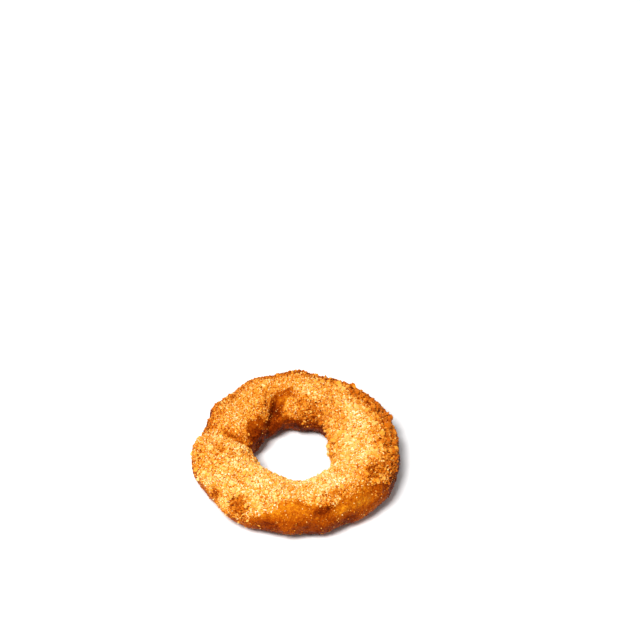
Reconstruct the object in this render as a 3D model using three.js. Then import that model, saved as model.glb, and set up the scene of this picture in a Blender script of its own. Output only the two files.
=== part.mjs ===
// A breaded and fried onion ring, lying flat: one solid, a thick uneven ring round an open hole.
// Millimetres, +Z up. The origin is the middle of its bounding box, at the flat underside it rests on.
// Directions round the ring are in degrees, anticlockwise from +X as seen from above.
// Directions round the tube are in degrees too: 0 faces out, 90 up, 180 into the hole and 270 down.
import * as THREE from "three";
import { mergeVertices } from "three/addons/utils/BufferGeometryUtils.js";

// Driving dimensions
const OUTER_RADIUS = 38.6;
const HOLE_RADIUS = 15.6;
const THICKNESS = 17.6;
const SQUARENESS = 2.25; // 2 is an elliptical tube, and more has flatter walls
const FLAT_DEPTH = 0.9; // how much of the underside is pressed flat
const RING_STEPS = 116;
const TUBE_STEPS = 50;

// Where the ring departs from a plain one: a direction, how far it spreads, and by how many millimetres.
const OUTER_SWELLS = [
  { at: 40, spread: 16, by: 0.9 },
  { at: 98, spread: 11, by: 1.1 },
  { at: 111, spread: 8, by: 1.1 },
  { at: 142, spread: 7, by: 0.7 },
  { at: 160, spread: 9, by: -2.6 },
  { at: 183, spread: 12, by: 1.2 },
  { at: 213, spread: 10, by: -1.2 },
  { at: 250, spread: 20, by: -1.6 },
  { at: 267, spread: 8, by: -0.9 },
  { at: 294, spread: 14, by: -1.3 },
  { at: 328, spread: 16, by: 0.6 },
];
const HOLE_SWELLS = [
  { at: 5, spread: 22, by: -3.2 },
  { at: 60, spread: 18, by: 0.8 },
  { at: 100, spread: 9, by: 1.6 },
  { at: 128, spread: 12, by: -0.8 },
  { at: 176, spread: 10, by: 0.8 },
  { at: 215, spread: 18, by: -0.6 },
  { at: 325, spread: 16, by: 0.6 },
];
const THICKNESS_SWELLS = [
  { at: 10, spread: 30, by: 1.4 },
  { at: 120, spread: 22, by: -1.0 },
  { at: 200, spread: 24, by: 1.0 },
  { at: 262, spread: 22, by: -0.8 },
];

// Creases pressed into the crust across the tube. Each has its middle, round the ring and round the tube, how far
// it spreads before and after that direction and along the tube, its depth, and its slant: how many degrees it
// moves round the ring for each degree round the tube.
const CREASES = [
  { at: 113, before: 5, after: 9, facing: 140, reach: 36, depth: 3.9, slant: 0.3 },
  { at: 175, before: 11, after: 3.5, facing: 110, reach: 52, depth: 2.9, slant: 0.08 },
  { at: 47, before: 7, after: 7, facing: 55, reach: 34, depth: 1.0, slant: -0.1 },
  { at: 305, before: 8, after: 8, facing: 15, reach: 40, depth: 0.8, slant: 0 },
];

// Relief: long swells of the batter, then the crags of the crumb coat.
const SWELL_RELIEF = { seed: 11, waves: 18, shortest: 11, longest: 22, height: 0.34 };
const CRAG_RELIEF = { seed: 29, waves: 26, shortest: 4.2, longest: 6.5, height: 0.42 };
const CRAG_MEAN = 0.6; // the crag field's usual size, taken off so that crags neither swell nor shrink the ring
const BARE_CRAG_SHARE = 0.3; // of the crags' height, where the outer wall has few crumbs
const CRUMBED_FACING = 105; // the crumb coat is thickest on the top, leaning towards the hole

const radians = THREE.MathUtils.degToRad;

// Degrees from one direction to another, from -180 to 180.
function turn(from, to) {
  return THREE.MathUtils.euclideanModulo(to - from + 180, 360) - 180;
}

function bell(offset, spread) {
  return Math.exp(-0.5 * (offset / spread) ** 2);
}

function withSwells(size, swells, direction) {
  return swells.reduce((sum, s) => sum + s.by * bell(turn(s.at, direction), s.spread), size);
}

// A repeatable stream of numbers from 0 to 1.
function seededRandom(seed) {
  let state = seed;
  return () => {
    state = (state + 0x6d2b79f5) | 0;
    let t = Math.imul(state ^ (state >>> 15), 1 | state);
    t = (t + Math.imul(t ^ (t >>> 7), 61 | t)) ^ t;
    return ((t ^ (t >>> 14)) >>> 0) / 2 ** 32;
  };
}

// A smooth random field over space, made of plane waves: its values are mostly between -1 and 1.
function wavyField({ seed, waves, shortest, longest }) {
  const random = seededRandom(seed);
  const made = Array.from({ length: waves }, () => {
    const up = 2 * random() - 1;
    const around = 2 * Math.PI * random();
    const flat = Math.sqrt(1 - up * up);
    const length = THREE.MathUtils.lerp(shortest, longest, random());
    const direction = new THREE.Vector3(flat * Math.cos(around), flat * Math.sin(around), up);
    return { across: direction.multiplyScalar((2 * Math.PI) / length), phase: 2 * Math.PI * random() };
  });
  const scale = Math.sqrt(2 / waves);
  return (point) => scale * made.reduce((sum, w) => sum + Math.sin(w.across.dot(point) + w.phase), 0);
}

const swellField = wavyField(SWELL_RELIEF);
const cragField = wavyField(CRAG_RELIEF);

function rounded(value) {
  return Math.sign(value) * Math.abs(value) ** (2 / SQUARENESS);
}

function creaseDepth(crease, direction, facing) {
  const along = turn(crease.facing, facing);
  const across = turn(crease.at + crease.slant * along, direction);
  return crease.depth * bell(across, across < 0 ? crease.before : crease.after) * bell(along, crease.reach);
}

// How far the surface stands out of the plain tube, along the tube's own outward direction.
function relief(direction, facing, point) {
  const crumbed = (1 + Math.cos(radians(turn(CRUMBED_FACING, facing)))) / 2;
  const cragShare = THREE.MathUtils.lerp(BARE_CRAG_SHARE, 1, crumbed);
  const crags = CRAG_RELIEF.height * cragShare * (Math.abs(cragField(point)) - CRAG_MEAN);
  const creases = CREASES.reduce((sum, crease) => sum + creaseDepth(crease, direction, facing), 0);
  return SWELL_RELIEF.height * swellField(point) + crags - creases;
}

// The point of the ring's surface at a direction round the ring and one round the tube.
function surfacePoint(direction, facing) {
  const outer = withSwells(OUTER_RADIUS, OUTER_SWELLS, direction);
  const hole = withSwells(HOLE_RADIUS, HOLE_SWELLS, direction);
  const halfThickness = withSwells(THICKNESS, THICKNESS_SWELLS, direction) / 2;
  const halfWidth = (outer - hole) / 2;
  const out = rounded(Math.cos(radians(facing)));
  const up = rounded(Math.sin(radians(facing)));
  const radius = (outer + hole) / 2 + halfWidth * out;
  const heading = new THREE.Vector3(Math.cos(radians(direction)), Math.sin(radians(direction)), 0);
  const point = heading.clone().multiplyScalar(radius).setZ(halfThickness * up);
  const outward = heading.multiplyScalar(out / halfWidth).setZ(up / halfThickness).normalize();
  return point.addScaledVector(outward, relief(direction, facing, point));
}

// A plain torus supplies the closed net of triangles, and each of its points moves to the ring's surface.
function onionRingGeometry() {
  const plainRadius = (OUTER_RADIUS + HOLE_RADIUS) / 2;
  const plainTube = (OUTER_RADIUS - HOLE_RADIUS) / 2;
  const torus = new THREE.TorusGeometry(plainRadius, plainTube, TUBE_STEPS, RING_STEPS);
  torus.deleteAttribute("normal");
  torus.deleteAttribute("uv");
  const net = mergeVertices(torus);
  const points = net.getAttribute("position");
  const floor = FLAT_DEPTH - THICKNESS / 2;
  for (let i = 0; i < points.count; i += 1) {
    const at = new THREE.Vector3().fromBufferAttribute(points, i);
    const direction = THREE.MathUtils.radToDeg(Math.atan2(at.y, at.x));
    const facing = THREE.MathUtils.radToDeg(Math.atan2(at.z, Math.hypot(at.x, at.y) - plainRadius));
    const moved = surfacePoint(direction, facing);
    points.setXYZ(i, moved.x, moved.y, Math.max(moved.z, floor));
  }
  net.computeBoundingBox();
  const middle = net.boundingBox.getCenter(new THREE.Vector3());
  net.translate(-middle.x, -middle.y, -floor);
  net.computeVertexNormals();
  return net;
}

const crust = new THREE.MeshStandardMaterial({ color: 0xd9902f, roughness: 0.6, metalness: 0 });
const onionRing = new THREE.Mesh(onionRingGeometry(), crust);
onionRing.name = "onion_ring";

const part = new THREE.Group();
part.add(onionRing);

export default part;
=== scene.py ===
"""The looks of one breaded and fried onion ring, lying flat on a pale floor.

The batter is the CAD solid made smooth and given its fine relief. Crumbs of six kinds lie on it, each
kind joined into one mesh. Where they lie, and how brown the batter is, with painted shade and painted
light in places, follows the direction round the ring and the facing round its tube: both in degrees, the
direction anticlockwise from +X as seen from above, and the facing 0 out, 90 up, 180 into the hole and
270 down.
"""

import math

import bmesh
import bpy
import numpy as np
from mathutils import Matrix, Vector, noise


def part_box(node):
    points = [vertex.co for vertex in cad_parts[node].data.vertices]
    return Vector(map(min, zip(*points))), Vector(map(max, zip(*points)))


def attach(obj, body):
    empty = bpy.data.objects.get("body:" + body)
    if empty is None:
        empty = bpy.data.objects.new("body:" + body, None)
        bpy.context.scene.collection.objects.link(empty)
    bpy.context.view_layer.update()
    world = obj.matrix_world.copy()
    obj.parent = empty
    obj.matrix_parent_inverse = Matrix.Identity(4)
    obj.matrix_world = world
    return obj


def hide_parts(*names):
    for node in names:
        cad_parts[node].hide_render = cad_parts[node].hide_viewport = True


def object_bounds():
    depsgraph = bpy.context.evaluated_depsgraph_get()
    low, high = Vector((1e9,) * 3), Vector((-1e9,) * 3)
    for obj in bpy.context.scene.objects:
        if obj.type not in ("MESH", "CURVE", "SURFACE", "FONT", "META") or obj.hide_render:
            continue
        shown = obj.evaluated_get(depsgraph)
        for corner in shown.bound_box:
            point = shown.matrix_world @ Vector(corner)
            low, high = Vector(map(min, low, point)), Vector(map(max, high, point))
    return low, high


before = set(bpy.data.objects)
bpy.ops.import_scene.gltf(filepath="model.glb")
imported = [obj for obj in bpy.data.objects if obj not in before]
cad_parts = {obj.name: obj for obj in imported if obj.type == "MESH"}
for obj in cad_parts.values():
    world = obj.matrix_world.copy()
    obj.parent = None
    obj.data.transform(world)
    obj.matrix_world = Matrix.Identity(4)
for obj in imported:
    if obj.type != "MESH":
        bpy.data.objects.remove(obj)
cad_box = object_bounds()

MM = 0.001
NODE = "onion_ring"
BODY = "root"

# ---------------------------------------------------------------- the ring's measures, from the CAD solid
ring_low, ring_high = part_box(NODE)
solid_points = np.array([v.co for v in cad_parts[NODE].data.vertices])
solid_radii = np.hypot(solid_points[:, 0], solid_points[:, 1])
TUBE_RADIUS = (solid_radii.min() + solid_radii.max()) / 2
TUBE_HEIGHT = (ring_low.z + ring_high.z) / 2

# ---------------------------------------------------------------- directions, bells and noise
CLOUD_SHIFT = Vector((17.3, 5.1, 9.7))  # how far each next seed moves the noise, in lumps
GRAIN_SHIFT = Vector((3.7, 11.9, 7.1))
GRAIN_REACH = 0.62  # how far a grain's bump reaches, as a share of the grain's size


def turn(start, end):
    """Degrees from one direction to another, from -180 to 180."""
    return (end - start + 180) % 360 - 180


def bell(offset, spread):
    return np.exp(-0.5 * (offset / spread) ** 2)


def ramp(value, low, high):
    """0 up to low, 1 from high on, and smooth between them."""
    part = np.clip((value - low) / (high - low), 0, 1)
    return part * part * (3 - 2 * part)


def around(direction, usual, swells):
    """A value that changes round the ring: the usual one, with a bell (at, spread, by) for each swell."""
    return usual + sum(by * bell(turn(at, direction), spread) for at, spread, by in swells)


def placed(points):
    """Each point's direction round the ring, and its facing round the tube from -90 to 270."""
    direction = np.degrees(np.arctan2(points[:, 1], points[:, 0]))
    out = np.hypot(points[:, 0], points[:, 1]) - TUBE_RADIUS
    facing = np.degrees(np.arctan2(points[:, 2] - TUBE_HEIGHT, out))
    return direction, (facing + 90) % 360 - 90


def clouds(points, size, seed):
    """Smooth noise, about -1 to 1, with lumps of about that size."""
    shift = CLOUD_SHIFT * seed
    return np.array([noise.noise(Vector(p) + shift) for p in points / size])


def grains(points, size, seed):
    """Rounded bumps packed side by side, about that size: 1 at the middle of each and 0 between them."""
    shift = GRAIN_SHIFT * seed
    nearest = np.array([noise.voronoi(Vector(p) + shift)[0][0] for p in points / size])
    return np.clip(1 - (nearest / GRAIN_REACH) ** 2, 0, 1)


# ---------------------------------------------------------------- crumb coat, and browning with painted shade and light
# A value that changes round the ring is its usual value and its swells: (direction, spread, by).
# The facings where the crumb coat ends, on the outer side and in the hole.
COAT_EDGE_OUT = (5, [
    (264, 10, 40),
    (283, 14, 32),
    (315, 11, 36),
    (225, 12, -12),
    (100, 50, 7),
    (150, 9, 9),
    (118, 6, -7),
    (68, 11, -10),
    (32, 8, 8),
])
COAT_EDGE_IN = (174, [(152, 17, -38), (181, 7, 14), (62, 9, -8), (12, 26, 28), (200, 20, 6)])

# The coat fades out over these degrees to each side of its edge. Waves and teeth make the edge ragged:
# (size, by how many degrees).
EDGE_WIDTH = 16
EDGE_WAVES = (4.5 * MM, 11)
EDGE_TEETH = (1.6 * MM, 9)

# Creases across the tube. Each has its middle, how many degrees round the ring it moves for each degree
# round the tube, how far it spreads round the ring and round the tube, the share of crumbs that it loses
# and how much it darkens: CREASE browns, and NOTCH's darkening is painted shade along its step. CREASE
# loses its crumbs between two values of its mask, and NOTCH evenly with it.
CREASE = {"at": 106, "facing": 130, "slant": 0.26, "spread": 9, "reach": 40, "bare": 0.9, "brown_and_shade": 0.2}
CREASE_DEPTHS = (0.25, 0.7)
# painted shade: NOTCH darkens a line along its step, and its crumbs thin there
NOTCH = {"at": 173, "facing": 110, "slant": 0.08, "spread": 2.6, "reach": 44, "bare": 0.6, "brown_and_shade": 0.6}

# Patches of browner batter and crumbs, and of paler ones, which have a strength below 0. Two of them paint
# light and shade, as marked below. Each has its direction and facing, its spread round the ring and round
# the tube, and its strength.
BROWN_AND_PAINTED_LIGHT_PATCHES = [
    # the dark cluster and the streak at the lower left
    (235, 18, 3.4, 9, 1.6),
    (217, 6, 3, 9, 0.8),
    (195, 76, 4, 7, 0.5),
    # the front and the lower right
    (286, 30, 6, 8, 0.45),
    (304, -5, 12, 10, 0.2),
    (312, 50, 10, 12, 0.25),
    # painted light: the lower right side is made paler
    (318, 8, 15, 22, -0.27),
    (328, 46, 4.5, 8, 0.75),
    # the right side, then the rim and the top at the back
    # partly browner crumbs, partly painted shade: the right outer side is made browner
    (2, 20, 26, 26, 0.95),
    (38, 52, 10, 12, 0.3),
    (105, 30, 55, 14, 0.63),
    (72, 45, 12, 14, 0.2),
    (95, 72, 24, 24, 0.1),
    (112, 48, 12, 20, -0.3),
    (124, 24, 7, 10, -0.3),
    (77, 122, 7, 12, -0.2),
    # the hole's wall
    (156, 165, 14, 24, 0.1),
    (168, 144, 9, 16, 0.15),
    (29, 138, 10, 16, 0.28),
    # the left lobe
    (196, 56, 5, 10, 0.3),
    (175, 32, 6, 14, -0.2),
    (210, 84, 7, 14, -0.22),
    (211, 24, 6, 10, -0.25),
    (231, 42, 4, 8, -0.22),
    (253, 18, 6, 10, -0.28),
    # the lip at the front and the crest at the right
    (304, 88, 7, 14, -0.32),
    (286, 56, 14, 9, 0.25),
    (21, 102, 12, 12, -0.28),
    (340, 95, 10, 14, -0.18),
    # beside the crease
    (84, 138, 22, 20, 0.35),
    (99, 140, 5, 16, -0.4),
]
USUAL_BROWNING = (0.32, [(262, 38, -0.08), (0, 30, -0.05), (112, 45, 0.03)])

# The outer side darkens from the first of its facings down to the second, and the hole's wall from the
# first of its own to the second: partly the batter's own browner tone, partly painted shade towards the
# base and on the hole's downturned wall.
SIDE_BROWNING_AND_SHADE = (0.57, [(215, 24, -0.36), (312, 14, -0.14)])
SIDE_FACINGS = (50, -28)
WALL_BROWNING_AND_SHADE = 0.55
WALL_FACINGS = (125, 215)

# Uneven browning: (size, strength). The small mottle gains TOP_MOTTLE over these facings, towards the top.
BROAD_MOTTLE = (7 * MM, 0.25)
SMALL_MOTTLE = (2.4 * MM, 0.14)
TOP_MOTTLE = 0.11
TOP_FACINGS = (10, 50)

# How large the crumbs are round the ring, as a factor, and how it wavers: (size, share).
CRUMB_SIZES = (0.95, [(8, 36, 0.3), (232, 24, 0.12), (122, 32, -0.22)])
CRUMB_SIZE_WAVES = (5 * MM, 0.12)


def crease_mask(crease, direction, facing):
    """1 at the middle of the crease, and falling to 0 away from it."""
    along = facing - crease["facing"]
    across = turn(crease["at"] + crease["slant"] * along, direction)
    return bell(across, crease["spread"]) * bell(along, crease["reach"])


def coat(points):
    """How fully crumbs cover the batter at each point, from 0 to 1."""
    direction, facing = placed(points)
    waves = EDGE_WAVES[1] * clouds(points, EDGE_WAVES[0], seed=1)
    teeth = EDGE_TEETH[1] * clouds(points, EDGE_TEETH[0], seed=2)
    ragged = facing + waves + teeth
    edge_out = around(direction, *COAT_EDGE_OUT)
    edge_in = around(direction, *COAT_EDGE_IN)
    cover = ramp(ragged, edge_out - EDGE_WIDTH, edge_out + EDGE_WIDTH)
    cover *= ramp(-ragged, -edge_in - EDGE_WIDTH, -edge_in + EDGE_WIDTH)
    cover *= 1 - CREASE["bare"] * ramp(crease_mask(CREASE, direction, facing), *CREASE_DEPTHS)
    return cover * (1 - NOTCH["bare"] * crease_mask(NOTCH, direction, facing))


def browning_and_shade(points):
    """How dark the crust is at each point, from 0 to 1: its browning, with painted shade down the sides, in
    the hole, along the notch and on the right side, and painted light on the lower right.
    """
    direction, facing = placed(points)
    brown_and_shade = around(direction, *USUAL_BROWNING)
    for at, tube, spread, reach, strength in BROWN_AND_PAINTED_LIGHT_PATCHES:
        brown_and_shade += strength * bell(turn(at, direction), spread) * bell(facing - tube, reach)
    # NOTCH's share here is painted shade along its step
    brown_and_shade += sum(crease["brown_and_shade"] * crease_mask(crease, direction, facing) for crease in (CREASE, NOTCH))
    # painted shade, with the batter's own browner tone: darker down the outer side and down the hole's wall
    side = around(direction, *SIDE_BROWNING_AND_SHADE) * ramp(-facing, -SIDE_FACINGS[0], -SIDE_FACINGS[1])
    brown_and_shade += side + WALL_BROWNING_AND_SHADE * ramp(facing, *WALL_FACINGS)
    broad_mottle = BROAD_MOTTLE[1] * clouds(points, BROAD_MOTTLE[0], seed=3)
    strength = SMALL_MOTTLE[1] + TOP_MOTTLE * ramp(facing, *TOP_FACINGS)
    brown_and_shade += broad_mottle + strength * clouds(points, SMALL_MOTTLE[0], seed=4)
    return np.clip(brown_and_shade, 0, 1)


def coarseness(points):
    """How large the crumbs are at each point, as a factor."""
    direction, _ = placed(points)
    waves = CRUMB_SIZE_WAVES[1] * clouds(points, CRUMB_SIZE_WAVES[0], seed=5)
    return around(direction, *CRUMB_SIZES) * (1 + waves)


# ---------------------------------------------------------------- the batter
WELD = 0.001 * MM  # points of the CAD solid this close are one
VOXEL = 0.4 * MM

# Relief: (size, height). Blisters and pores show on the bare batter. The crumb bed keeps BARE_SHARE of its
# height there, and the batter is lower by CRUMB_ROOM under the coat. The means are taken off the bumps so
# that they don't swell the ring.
LUMPS = (3.4 * MM, 0.26 * MM)
BLISTERS = (2.1 * MM, 0.2 * MM)
BLISTER_MEAN = 0.5
PORES = (1.0 * MM, 0.1 * MM)
CRUMB_BED = (1.05 * MM, 0.34 * MM)
CRUMB_BED_MEAN = 0.4
BARE_SHARE = 0.6
CRUMB_ROOM = 0.22 * MM


def object_from(mesh, material):
    piece = bpy.data.objects.new(mesh.name, mesh)
    bpy.context.scene.collection.objects.link(piece)
    mesh.materials.append(material)
    return piece


def add_values(mesh, name, values):
    """One number for each point of the mesh, which its material can read by name."""
    values = np.ascontiguousarray(values, np.float32)
    mesh.attributes.new(name, "FLOAT", "POINT").data.foreach_set("value", values)


def mesh_points(mesh):
    points = np.empty(3 * len(mesh.vertices))
    mesh.vertices.foreach_get("co", points)
    return points.reshape(-1, 3)


def mesh_normals(mesh):
    normals = np.empty(3 * len(mesh.vertices))
    mesh.vertex_normals.foreach_get("vector", normals)
    return normals.reshape(-1, 3)


def smooth_copy(node, name):
    """The CAD solid with its facets smoothed away, as a fine even mesh."""
    work = node.copy()
    work.data = node.data.copy()
    work.parent = None
    bpy.context.scene.collection.objects.link(work)
    shell = bmesh.new()
    shell.from_mesh(work.data)
    bmesh.ops.remove_doubles(shell, verts=shell.verts, dist=WELD)
    shell.to_mesh(work.data)
    shell.free()
    subdivide = work.modifiers.new("subdivide", "SUBSURF")
    subdivide.levels = 1
    remesh = work.modifiers.new("remesh", "REMESH")
    remesh.mode = "VOXEL"
    remesh.voxel_size = VOXEL
    evaluated = work.evaluated_get(bpy.context.evaluated_depsgraph_get())
    mesh = bpy.data.meshes.new_from_object(evaluated)
    mesh.name = name
    mesh.materials.clear()
    bpy.data.objects.remove(work)
    return mesh


def make_batter(material):
    mesh = smooth_copy(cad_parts[NODE], "batter_ring")
    points, normals = mesh_points(mesh), mesh_normals(mesh)
    cover = coat(points)
    bare = 1 - cover
    height = LUMPS[1] * clouds(points, LUMPS[0], seed=6) - CRUMB_ROOM * cover
    height += BLISTERS[1] * bare * (grains(points, BLISTERS[0], seed=1) - BLISTER_MEAN)
    height += PORES[1] * bare * clouds(points, PORES[0], seed=7)
    bed_share = BARE_SHARE + (1 - BARE_SHARE) * cover
    height += CRUMB_BED[1] * bed_share * (grains(points, CRUMB_BED[0], seed=2) - CRUMB_BED_MEAN)
    moved = points + normals * height[:, None]
    moved[:, 2] = np.maximum(moved[:, 2], ring_low.z)
    mesh.vertices.foreach_set("co", moved.ravel())
    mesh.polygons.foreach_set("use_smooth", np.ones(len(mesh.polygons), bool))
    mesh.update()
    add_values(mesh, "coat", cover)
    add_values(mesh, "browning_and_shade", browning_and_shade(points))
    return object_from(mesh, material)


# ---------------------------------------------------------------- the crumbs
# Each kind: its random seed, how many at most, their sizes and the spacing that spreads them out, both in
# mm, how far their middles stand off the surface as a share of their size, how finely each is modelled,
# how many stray off the crumb coat, and how much browned patches and painted shade draw them, or below 0
# drive them off.
# "along" is how thickly a kind lies round the ring, where that isn't CRUMB_COVER, and "on" names the kinds
# that it lies on besides the batter.
CRUMB_KINDS = {
    "crumbs_golden": dict(
        seed=101, most=9900, size=(0.5, 0.95), spacing=0.68, proud=0.1, detail=1, stray=0.04, brown_and_shade=0.0,
    ),
    "crumbs_pale": dict(
        seed=102, most=9900, size=(0.38, 0.85), spacing=0.66, proud=0.24, detail=1, stray=0.035, brown_and_shade=-1.1,
    ),
    "crumbs_toasted": dict(
        seed=103, most=5500, size=(0.35, 0.8), spacing=0.8, proud=0.2, detail=1, stray=0.06, brown_and_shade=3.0,
    ),
    "crumbs_coarse": dict(
        seed=104, most=1200, size=(0.85, 1.55), spacing=1.5, proud=0.2, detail=2, stray=0.008, brown_and_shade=0.0,
    ),
    "crumbs_clumped": dict(
        seed=106, most=70, size=(1.3, 2.2), spacing=2.6, proud=0.22, detail=2, stray=0.0, brown_and_shade=0.0,
        along=(0.03, [(14, 20, 0.85), (52, 9, 0.6), (232, 10, 0.25)]),
    ),
    "crumb_dust": dict(
        seed=105, most=20000, size=(0.2, 0.44), spacing=0.42, proud=0.3, detail=0, stray=0.22, brown_and_shade=0.0,
        on=("crumbs_golden", "crumbs_pale", "crumbs_coarse", "crumbs_clumped"),
    ),
}
CRUMB_COVER = (1.0, [(116, 30, -0.4)])
PLACES_TRIED = 12  # for each crumb that a kind may have
FLOOR_CLEARANCE = 0.35 * MM

# Crumbs off the coat lie in patches of this size, where the noise runs from the first value to the second,
# and a share of them lies everywhere.
STRAY_PATCH = 3 * MM
STRAY_NOISE = (0.0, 0.5)
STRAY_SHARE = 0.4

# The browning, with its painted shade, that neither draws crumbs nor drives them off, and the least and
# most factor that this darkening puts on the chance of a crumb.
NEUTRAL_BROWN_AND_SHADE = 0.35
BROWN_AND_SHADE_CHANCE = (0.05, 1.6)

# Crumb shapes: their size off the coat as a share of the usual, the factors that stretch each along its
# axes, and those that move its corners in or out.
BARE_SIZE = 0.75
STRETCH = (0.62, 1.3)
UNEVEN = (0.72, 1.28)


def triangle_corners(mesh):
    mesh.calc_loop_triangles()
    corners = np.empty(3 * len(mesh.loop_triangles), np.int32)
    mesh.loop_triangles.foreach_get("vertices", corners)
    return mesh_points(mesh)[corners.reshape(-1, 3)]


def sample_surface(meshes, rng, count):
    """Random points on meshes, spread evenly by area, with the normals of the faces that they lie on."""
    a, b, c = np.concatenate([triangle_corners(mesh) for mesh in meshes]).transpose(1, 0, 2)
    cross = np.cross(b - a, c - a)
    doubled_area = np.linalg.norm(cross, axis=1)
    chosen = rng.choice(len(a), count, p=doubled_area / doubled_area.sum())
    u, v = rng.random((2, count, 1))
    over = u + v > 1
    u, v = np.where(over, 1 - u, u), np.where(over, 1 - v, v)
    points = a[chosen] + u * (b - a)[chosen] + v * (c - a)[chosen]
    return points, cross[chosen] / doubled_area[chosen, None]


def one_per_cell(points, spacing):
    """The first point in each cell of a cubic grid."""
    cells = np.floor(points / spacing).astype(np.int64)
    _, first = np.unique(cells, axis=0, return_index=True)
    return np.sort(first)


def random_rotations(rng, count):
    """Random rotation matrices, from random unit quaternions."""
    q = rng.normal(size=(count, 4))
    w, x, y, z = (q / np.linalg.norm(q, axis=1, keepdims=True)).T
    rows = [
        [1 - 2 * (y * y + z * z), 2 * (x * y - w * z), 2 * (x * z + w * y)],
        [2 * (x * y + w * z), 1 - 2 * (x * x + z * z), 2 * (y * z - w * x)],
        [2 * (x * z - w * y), 2 * (y * z + w * x), 1 - 2 * (x * x + y * y)],
    ]
    return np.array(rows).transpose(2, 0, 1)


def nugget(detail):
    """The points and faces of a ball about 1 across, to be made uneven: with detail 0 it has just 8 faces."""
    ball = bmesh.new()
    if detail:
        bmesh.ops.create_icosphere(ball, subdivisions=detail, radius=0.5)
    else:
        for corner in [(0.5, 0, 0), (-0.5, 0, 0), (0, 0.5, 0), (0, -0.5, 0), (0, 0, 0.5), (0, 0, -0.5)]:
            ball.verts.new(corner)
        bmesh.ops.convex_hull(ball, input=ball.verts)
    points = np.array([v.co for v in ball.verts])
    faces = np.array([[v.index for v in f.verts] for f in ball.faces])
    ball.free()
    return points, faces


def make_crumbs(name, kind, bed, material):
    """Crumbs of one kind, half sunk in the meshes of the bed, as one mesh."""
    rng = np.random.default_rng(kind["seed"])
    points, normals = sample_surface(bed, rng, PLACES_TRIED * kind["most"])
    first = rng.permutation(one_per_cell(points, kind["spacing"] * MM))
    points, normals = points[first], normals[first]
    brown_and_shade = browning_and_shade(points)
    patches = ramp(clouds(points, STRAY_PATCH, seed=8), *STRAY_NOISE)
    chance = coat(points) + kind["stray"] * (STRAY_SHARE + patches)
    chance *= np.clip(1 + kind["brown_and_shade"] * (brown_and_shade - NEUTRAL_BROWN_AND_SHADE), *BROWN_AND_SHADE_CHANCE)
    chance *= around(placed(points)[0], *kind.get("along", CRUMB_COVER))
    kept = rng.random(len(points)) < chance
    kept &= points[:, 2] > FLOOR_CLEARANCE + kind["size"][1] * MM / 2
    points, normals, brown_and_shade = (values[kept][:kind["most"]] for values in (points, normals, brown_and_shade))
    count = len(points)
    low, high = kind["size"]
    most_small = rng.random(count) ** 2
    sizes = (low + (high - low) * most_small) * coarseness(points) * MM
    sizes *= BARE_SIZE + (1 - BARE_SIZE) * coat(points)
    shape, faces = nugget(kind["detail"])
    stretch = rng.uniform(*STRETCH, (count, 1, 3))
    uneven = rng.uniform(*UNEVEN, (count, len(shape), 1))
    turned = np.einsum("nij,nkj->nki", random_rotations(rng, count), shape * stretch * uneven)
    centres = points + normals * (kind["proud"] * sizes)[:, None]
    corners = centres[:, None, :] + sizes[:, None, None] * turned
    indices = faces[None] + len(shape) * np.arange(count)[:, None, None]
    mesh = bpy.data.meshes.new(name)
    mesh.from_pydata(corners.reshape(-1, 3).tolist(), [], indices.reshape(-1, 3).tolist())
    add_values(mesh, "tint", np.repeat(rng.random(count), len(shape)))
    add_values(mesh, "browning_and_shade", np.repeat(brown_and_shade, len(shape)))
    return object_from(mesh, material)


# ---------------------------------------------------------------- materials
AMBER = (1.0, 0.5, 0.12)  # the tint of highlights
FINE_DETAIL = 3.0  # of the noise in fine textures

# The batter's textures: their sizes, and for its tone (strength, what is taken off to keep its level).
BROAD_CLOUDS = 5 * MM
BROAD_TONE = (0.25, 0.45)
FINE_CLOUDS = 0.9 * MM
FINE_TONE = (0.5, 0.22)
SPECKS = 0.4 * MM
SPECK_TONE = (0.6, 0.18)
GRAINS = 0.6 * MM
GRAIN_TONE = 0.25
GRAIN_BROWNING_AND_SHADE = 0.5
COAT_FINE = 0.5  # how far the fine clouds move the edge where grains take over from bare batter
COAT_EDGE = (0.5, 0.8)
BATTER_ROUGHNESS = (0.3, 0.6)

# The batter's bump: its wrinkles, how much stronger than them the fine clouds are, and how deep the gaps
# between grains go on bare batter and how much deeper in the coat.
WRINKLES = 0.45 * MM
FINE_BUMP = 1.5
GRAIN_BUMP = (-1.0, -1.5)
BUMP_STRENGTH = 0.6
BATTER_BUMP = 0.12 * MM

# A crumb's tone: its own tint, its mottle (size, strength, offset), and the browning with its painted shade
# (strength, what is taken off to keep its level). Then its bump: (size, depth).
CRUMB_TINT = 0.65
CRUMB_MOTTLE = (0.35 * MM, 0.5, -0.25)
CRUMB_BROWNING_AND_SHADE = (0.75, 0.06)
CRUMB_BUMP = (0.22 * MM, 0.1 * MM)


def add_node(tree, kind, inputs=(), **settings):
    """A node with its settings, and with each input set to a constant or linked to a socket."""
    node = tree.nodes.new(kind)
    for key, value in settings.items():
        setattr(node, key, value)
    for key, value in dict(inputs).items():
        if isinstance(value, bpy.types.NodeSocket):
            tree.links.new(value, node.inputs[key])
        else:
            node.inputs[key].default_value = value
    return node


def color_ramp(tree, factor, stops):
    """A colour ramp over (place, (r, g, b)) stops."""
    node = add_node(tree, "ShaderNodeValToRGB", {"Fac": factor})
    elements = node.color_ramp.elements
    while len(elements) < len(stops):
        elements.new(0.5)
    for element, (place, color) in zip(elements, stops):
        element.position = place
        element.color = (*color, 1)
    return node.outputs["Color"]


def value(tree, operation, *operands):
    node = add_node(tree, "ShaderNodeMath", dict(enumerate(operands)), operation=operation)
    return node.outputs["Value"]


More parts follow.
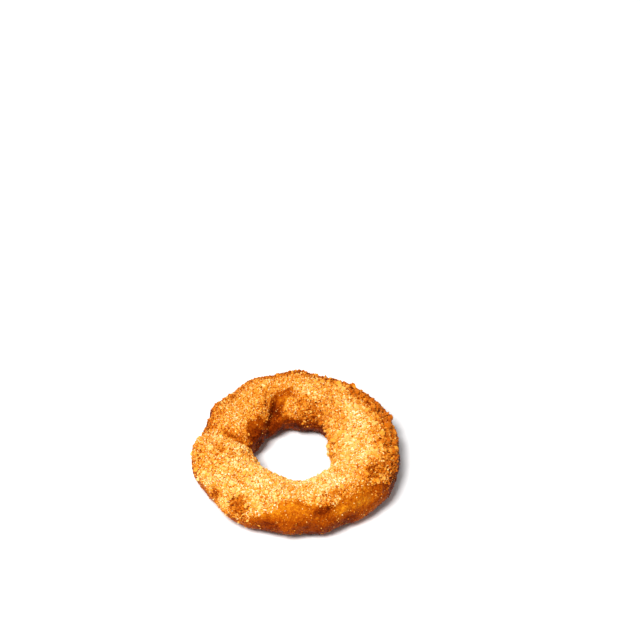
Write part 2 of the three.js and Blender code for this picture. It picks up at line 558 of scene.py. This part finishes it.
def mixed_color(tree, factor, first, second):
    """The first colour where the factor is 0 and the second where it is 1."""
    node = add_node(tree, "ShaderNodeMix", data_type="RGBA")
    tree.links.new(factor, node.inputs[0])
    for socket, color in zip([i for i in node.inputs if i.type == "RGBA"], (first, second)):
        tree.links.new(color, socket)
    return next(o for o in node.outputs if o.type == "RGBA")


def cloud_texture(tree, size, detail=2.0):
    """Noise with lumps of about that size, around 0.5."""
    place = add_node(tree, "ShaderNodeTexCoord").outputs["Object"]
    node = add_node(tree, "ShaderNodeTexNoise", {"Vector": place, "Scale": 1 / size, "Detail": detail})
    return node.outputs["Fac"]


def map_range(tree, field, limits):
    return add_node(tree, "ShaderNodeMapRange", {"Value": field, **limits}).outputs["Result"]


def add_bump(tree, surface, height, distance):
    inputs = {"Height": height, "Strength": BUMP_STRENGTH, "Distance": distance}
    bump = add_node(tree, "ShaderNodeBump", inputs)
    tree.links.new(bump.outputs["Normal"], surface.inputs["Normal"])


def attribute(tree, name):
    return add_node(tree, "ShaderNodeAttribute", attribute_name=name).outputs["Fac"]


def new_material(name):
    material = bpy.data.materials.new(name)
    material.use_nodes = True
    return material, material.node_tree, material.node_tree.nodes["Principled BSDF"]


def toned(tree, tone, field, strength, offset):
    """The tone less an offset, with a field added to it at that strength."""
    return value(tree, "MULTIPLY_ADD", field, strength, value(tree, "SUBTRACT", tone, offset))


def batter_material():
    """Bare amber batter, browned in places, with painted shade and light in others, and fine grains of many
    tones where the crumb coat lies.
    """
    material, tree, surface = new_material("fried_batter")
    brown_and_shade = attribute(tree, "browning_and_shade")
    broad = cloud_texture(tree, BROAD_CLOUDS, FINE_DETAIL)
    fine = cloud_texture(tree, FINE_CLOUDS, FINE_DETAIL)
    place = add_node(tree, "ShaderNodeTexCoord").outputs["Object"]
    grain = add_node(tree, "ShaderNodeTexVoronoi", {"Vector": place, "Scale": 1 / GRAINS})
    tone = toned(tree, brown_and_shade, broad, *BROAD_TONE)
    tone = toned(tree, tone, fine, *FINE_TONE)
    tone = value(tree, "MULTIPLY_ADD", grain.outputs["Color"], GRAIN_TONE, tone)
    tone = toned(tree, tone, cloud_texture(tree, SPECKS), *SPECK_TONE)
    bare = color_ramp(tree, tone, [
        (0.0, (0.78, 0.33, 0.02)),
        (0.2, (0.6, 0.19, 0.008)),
        (0.45, (0.4, 0.085, 0.003)),
        (0.75, (0.2, 0.03, 0.002)),
        (1.0, (0.08, 0.012, 0.002)),
    ])
    grain_tint = value(tree, "MULTIPLY_ADD", brown_and_shade, GRAIN_BROWNING_AND_SHADE, grain.outputs["Color"])
    grain_color = color_ramp(tree, grain_tint, [
        (0.0, (0.95, 0.72, 0.34)),
        (0.3, (0.9, 0.48, 0.09)),
        (0.7, (0.78, 0.27, 0.02)),
        (1.0, (0.5, 0.12, 0.006)),
    ])
    ragged_coat = value(tree, "MULTIPLY_ADD", fine, COAT_FINE, attribute(tree, "coat"))
    coated = map_range(tree, ragged_coat, {"From Min": COAT_EDGE[0], "From Max": COAT_EDGE[1]})
    tree.links.new(mixed_color(tree, coated, bare, grain_color), surface.inputs["Base Color"])
    rough = map_range(tree, fine, {"To Min": BATTER_ROUGHNESS[0], "To Max": BATTER_ROUGHNESS[1]})
    tree.links.new(rough, surface.inputs["Roughness"])
    gap_depth = value(tree, "MULTIPLY_ADD", coated, GRAIN_BUMP[1], GRAIN_BUMP[0])
    gaps = value(tree, "MULTIPLY", grain.outputs["Distance"], gap_depth)
    relief = value(tree, "MULTIPLY_ADD", fine, FINE_BUMP, cloud_texture(tree, WRINKLES, FINE_DETAIL))
    add_bump(tree, surface, value(tree, "ADD", relief, gaps), BATTER_BUMP)
    surface.inputs["Subsurface Weight"].default_value = 0.15
    surface.inputs["Subsurface Radius"].default_value = (1.0, 0.35, 0.08)
    surface.inputs["Subsurface Scale"].default_value = 1.4 * MM
    surface.inputs["Specular IOR Level"].default_value = 0.06
    surface.inputs["Specular Tint"].default_value = (*AMBER, 1)
    return material


def crumb_material(name, stops, roughness):
    """Crumbs whose colour runs over the stops from one to the next, darker where the crust is browned and
    where painted shade lies.
    """
    material, tree, surface = new_material(name)
    size, strength, offset = CRUMB_MOTTLE
    mottle = value(tree, "MULTIPLY_ADD", cloud_texture(tree, size), strength, offset)
    tone = value(tree, "MULTIPLY_ADD", attribute(tree, "tint"), CRUMB_TINT, mottle)
    tone = toned(tree, tone, attribute(tree, "browning_and_shade"), *CRUMB_BROWNING_AND_SHADE)
    tree.links.new(color_ramp(tree, tone, stops), surface.inputs["Base Color"])
    add_bump(tree, surface, cloud_texture(tree, CRUMB_BUMP[0], FINE_DETAIL), CRUMB_BUMP[1])
    surface.inputs["Roughness"].default_value = roughness
    surface.inputs["Specular IOR Level"].default_value = 0.15
    surface.inputs["Specular Tint"].default_value = (*AMBER, 1)
    return material


# Each kind's roughness, and the colours that its crumbs run over.
CRUMB_LOOKS = {
    "crumbs_golden": (0.5, [(0.0, (0.94, 0.56, 0.12)), (0.4, (0.9, 0.42, 0.05)), (0.75, (0.72, 0.22, 0.01)),
                            (1.0, (0.34, 0.065, 0.003))]),
    "crumbs_pale": (0.45, [(0.0, (0.98, 0.9, 0.68)), (0.3, (0.97, 0.8, 0.45)), (0.7, (0.94, 0.58, 0.17)),
                           (1.0, (0.75, 0.27, 0.02))]),
    "crumbs_toasted": (0.5, [(0.0, (0.86, 0.34, 0.03)), (0.4, (0.7, 0.21, 0.012)), (0.8, (0.46, 0.1, 0.006)),
                             (1.0, (0.16, 0.03, 0.003))]),
    "crumbs_coarse": (0.45, [(0.0, (0.97, 0.82, 0.48)), (0.35, (0.94, 0.6, 0.18)), (0.75, (0.85, 0.36, 0.04)),
                             (1.0, (0.55, 0.14, 0.008))]),
    "crumbs_clumped": (0.5, [(0.0, (0.95, 0.66, 0.25)), (0.5, (0.88, 0.42, 0.06)), (1.0, (0.6, 0.17, 0.01))]),
    "crumb_dust": (0.5, [(0.0, (0.98, 0.88, 0.6)), (0.5, (0.93, 0.56, 0.15)), (1.0, (0.75, 0.26, 0.02))]),
}

batter = make_batter(batter_material())
pieces = {"batter_ring": batter}
for kind_name, crumb_kind in CRUMB_KINDS.items():
    crumb_roughness, crumb_stops = CRUMB_LOOKS[kind_name]
    look = crumb_material(kind_name, crumb_stops, crumb_roughness)
    bed = [pieces[under].data for under in ("batter_ring", *crumb_kind.get("on", ()))]
    pieces[kind_name] = make_crumbs(kind_name, crumb_kind, bed, look)
for piece in pieces.values():
    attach(piece, BODY)
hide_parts(NODE)

# ---------------------------------------------------------------- floor, light and camera
FLOOR_SIDE = 6.0
FLOOR_CLOUDS = 0.4
SENSOR = 36.0
LENS = 135.0
CLIP_END = 20.0
PHOTO_SIDE = 640
VIEW_ELEVATION = 48.0
RING_PX = (295.7, 449.3)  # where the photo shows the ring's middle, from its top left corner
METRES_PER_PX = 0.375 * MM  # at the ring's middle


def floor_material():
    material, tree, surface = new_material("pale_floor")
    stops = [(0.3, (0.9, 0.9, 0.9)), (0.7, (0.93, 0.93, 0.93))]
    tone = color_ramp(tree, cloud_texture(tree, FLOOR_CLOUDS), stops)
    tree.links.new(tone, surface.inputs["Base Color"])
    surface.inputs["Roughness"].default_value = 0.6
    surface.inputs["Specular IOR Level"].default_value = 0.12
    return material


def make_floor():
    half = FLOOR_SIDE / 2
    corners = [(x, y, ring_low.z) for x, y in [(-half, -half), (half, -half), (half, half), (-half, half)]]
    mesh = bpy.data.meshes.new("floor")
    mesh.from_pydata(corners, [], [(0, 1, 2, 3)])
    object_from(mesh, floor_material())


def area_light(name, azimuth, elevation, distance, side, power):
    """A square light that shines on the ring from that azimuth (0 is the viewer's side, 90 the right)."""
    light = bpy.data.lights.new(name, "AREA")
    light.size = side
    light.energy = power
    lamp = bpy.data.objects.new(name, light)
    bpy.context.scene.collection.objects.link(lamp)
    a, e = math.radians(azimuth), math.radians(elevation)
    back = Vector((math.sin(a) * math.cos(e), -math.cos(a) * math.cos(e), math.sin(e)))
    lamp.location = back * distance
    lamp.rotation_euler = back.to_track_quat("Z", "Y").to_euler()


def make_camera():
    """A level camera that sees the ring from the photo's elevation, at the photo's place and scale."""
    camera = bpy.data.cameras.new("camera")
    camera.sensor_width = SENSOR
    camera.lens = LENS
    camera.clip_end = CLIP_END
    holder = bpy.data.objects.new("camera", camera)
    bpy.context.scene.collection.objects.link(holder)
    per_px = SENSOR / PHOTO_SIDE / LENS
    right = (RING_PX[0] - PHOTO_SIDE / 2) * per_px
    up = (PHOTO_SIDE / 2 - RING_PX[1]) * per_px
    reach = math.sqrt(1 + right ** 2 + up ** 2)
    depth = METRES_PER_PX / per_px
    tilt = math.radians(VIEW_ELEVATION)
    yaw = math.asin(right / reach / math.cos(tilt))
    pitch = math.atan2(math.sin(tilt), math.cos(tilt) * math.cos(yaw)) + math.atan(up)
    middle = (cad_box[0] + cad_box[1]) / 2
    holder.location = middle + Vector((0, -math.cos(tilt), math.sin(tilt))) * depth * reach
    holder.rotation_euler = (math.pi / 2 - pitch, 0, yaw)
    bpy.context.scene.camera = holder


def make_world(strength):
    world = bpy.data.worlds.new("studio")
    world.use_nodes = True
    background = world.node_tree.nodes["Background"]
    background.inputs["Color"].default_value = (1, 1, 1, 1)
    background.inputs["Strength"].default_value = strength
    bpy.context.scene.world = world


make_floor()
area_light("key", azimuth=-35, elevation=62, distance=1.2, side=0.45, power=17.5)
area_light("fill", azimuth=60, elevation=35, distance=1.4, side=1.0, power=1.0)
area_light("back", azimuth=165, elevation=40, distance=1.4, side=1.0, power=2.5)
make_camera()
make_world(strength=0.3)
bpy.context.scene.view_settings.view_transform = "Standard"
bpy.context.scene.view_settings.look = "Medium High Contrast"
bpy.context.scene.view_settings.exposure = -0.25
